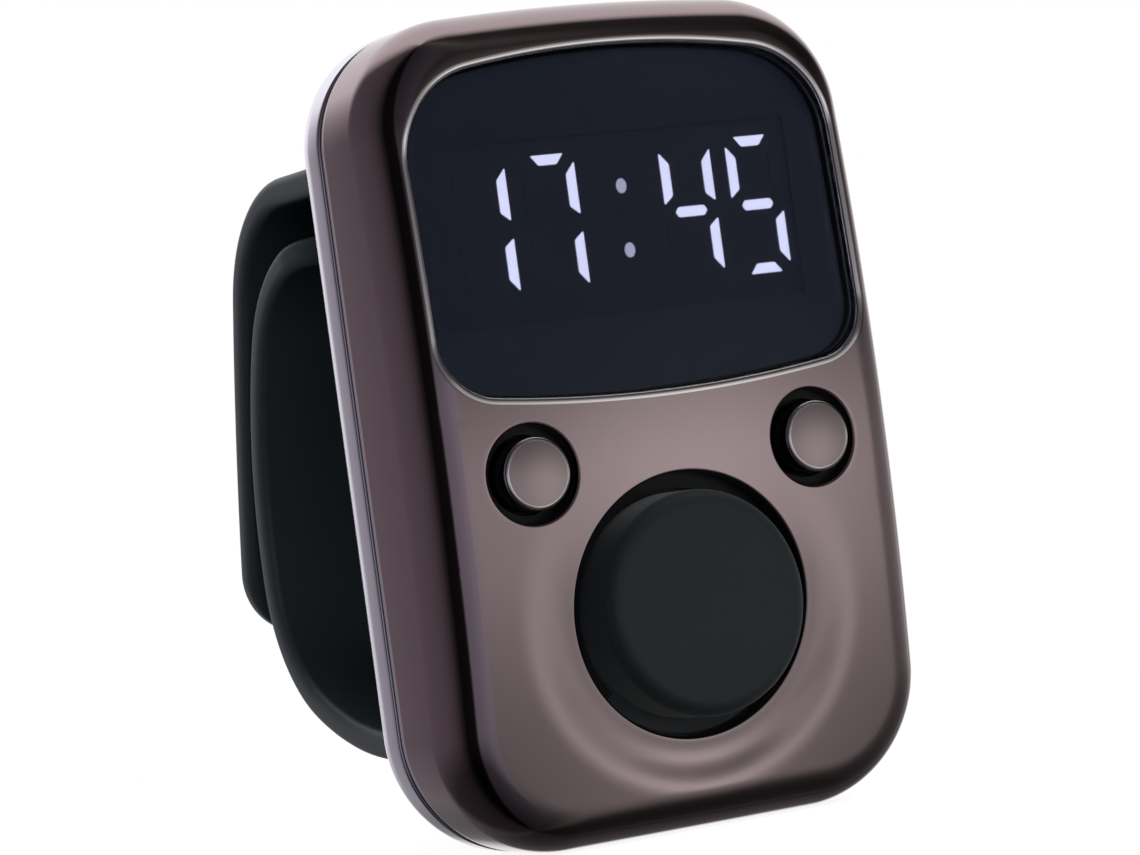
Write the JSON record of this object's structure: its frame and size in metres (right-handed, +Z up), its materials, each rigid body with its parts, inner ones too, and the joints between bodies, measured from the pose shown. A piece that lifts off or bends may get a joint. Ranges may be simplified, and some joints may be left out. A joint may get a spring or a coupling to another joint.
{
  "type": "digital finger tally counter",
  "caption": "Digital tally counter worn on a finger: plated casing, lit clock and count display, large count button, two small buttons and a split silicone finger ring.",
  "frame": {"origin": "middle of the casing's flat bottom end, at half the casing's depth", "axes": "+Z up along the casing towards the display, -Y out of the display and the buttons, +Y towards the finger ring, +X to the right as the display is read"},
  "size_m": [0.0286, 0.0346, 0.0439],
  "materials": {
    "plated_casing": "moulded plastic with dark bronze electroplating, mirror bright",
    "plated_rear_casing": "moulded plastic with dark bronze electroplating, mirror bright",
    "plated_button": "moulded plastic with dark bronze electroplating, mirror bright",
    "smoked_acrylic": "clear gloss acrylic, dark smoked",
    "black_plastic": "moulded black ABS, fine texture",
    "soft_black_cap": "soft-touch black",
    "black_silicone": "moulded silicone, satin",
    "milky_light_guide": "milky polycarbonate",
    "switch_plastic": "moulded nylon",
    "board_laminate": "green solder mask on glass laminate",
    "nickel_plated_steel": "nickel plated",
    "chip_epoxy": "moulded epoxy",
    "cell_foil": "laminated foil pouch",
    "foam_tape": "white foam tape",
    "red_wire": "silicone insulation",
    "black_wire": "silicone insulation"
  },
  "bodies": {
    "root": {"front_shell": "plated_casing", "rear_shell": "plated_rear_casing", "case_screw_lower_left": "nickel_plated_steel", "case_screw_lower_right": "nickel_plated_steel", "case_screw_upper_left": "nickel_plated_steel", "case_screw_upper_right": "nickel_plated_steel", "display_window": "smoked_acrylic", "display_housing": "black_plastic", "digit_1_guide": "milky_light_guide", "digit_2_guide": "milky_light_guide", "digit_3_guide": "milky_light_guide", "digit_4_guide": "milky_light_guide", "colon_guide": "milky_light_guide", "button_frame": "black_plastic", "main_switch": "switch_plastic", "left_switch": "switch_plastic", "right_switch": "switch_plastic", "circuit_board": "board_laminate", "charging_socket": "nickel_plated_steel", "socket_tongue": "black_plastic", "controller_chip": "chip_epoxy", "charger_chip": "chip_epoxy", "crystal": "nickel_plated_steel", "battery": "cell_foil", "battery_pad": "foam_tape", "battery_lead_red": "red_wire", "battery_lead_black": "black_wire", "ring_pad": "foam_tape", "ring_base": "black_silicone"},
    "main_key": {"main_button": "soft_black_cap", "main_switch_plunger": "switch_plastic"},
    "left_key": {"left_button": "plated_button", "left_switch_plunger": "switch_plastic"},
    "right_key": {"right_button": "plated_button", "right_switch_plunger": "switch_plastic"},
    "upper_flap": {"ring_upper_band": "black_silicone"},
    "lower_flap": {"ring_lower_band": "black_silicone"}
  },
  "joints": [
    {"name": "main_press", "type": "slide", "parent": "root", "child": "main_key", "axis": [0, 1, 0], "range_m": [0, 0.0003], "stiffness_N_per_m": 600, "springref_m": -0.001},
    {"name": "left_press", "type": "slide", "parent": "root", "child": "left_key", "axis": [0, 1, 0], "range_m": [0, 0.0003], "stiffness_N_per_m": 600, "springref_m": -0.001},
    {"name": "right_press", "type": "slide", "parent": "root", "child": "right_key", "axis": [0, 1, 0], "range_m": [0, 0.0003], "stiffness_N_per_m": 600, "springref_m": -0.001},
    {"name": "upper_flap_bend", "type": "hinge", "parent": "root", "child": "upper_flap", "pos_m": [0, 0.00815, 0.0377], "axis": [1, 0, 0], "range_deg": [0, 24], "stiffness_Nm_per_rad": 0.02},
    {"name": "lower_flap_bend", "type": "hinge", "parent": "root", "child": "lower_flap", "pos_m": [0, 0.00815, 0.0053], "axis": [-1, 0, 0], "range_deg": [0, 14.4], "stiffness_Nm_per_rad": 0.02}
  ],
  "couplings": [
    {"joint": "lower_flap_bend", "follows": "upper_flap_bend", "ratio": 0.6}
  ]
}
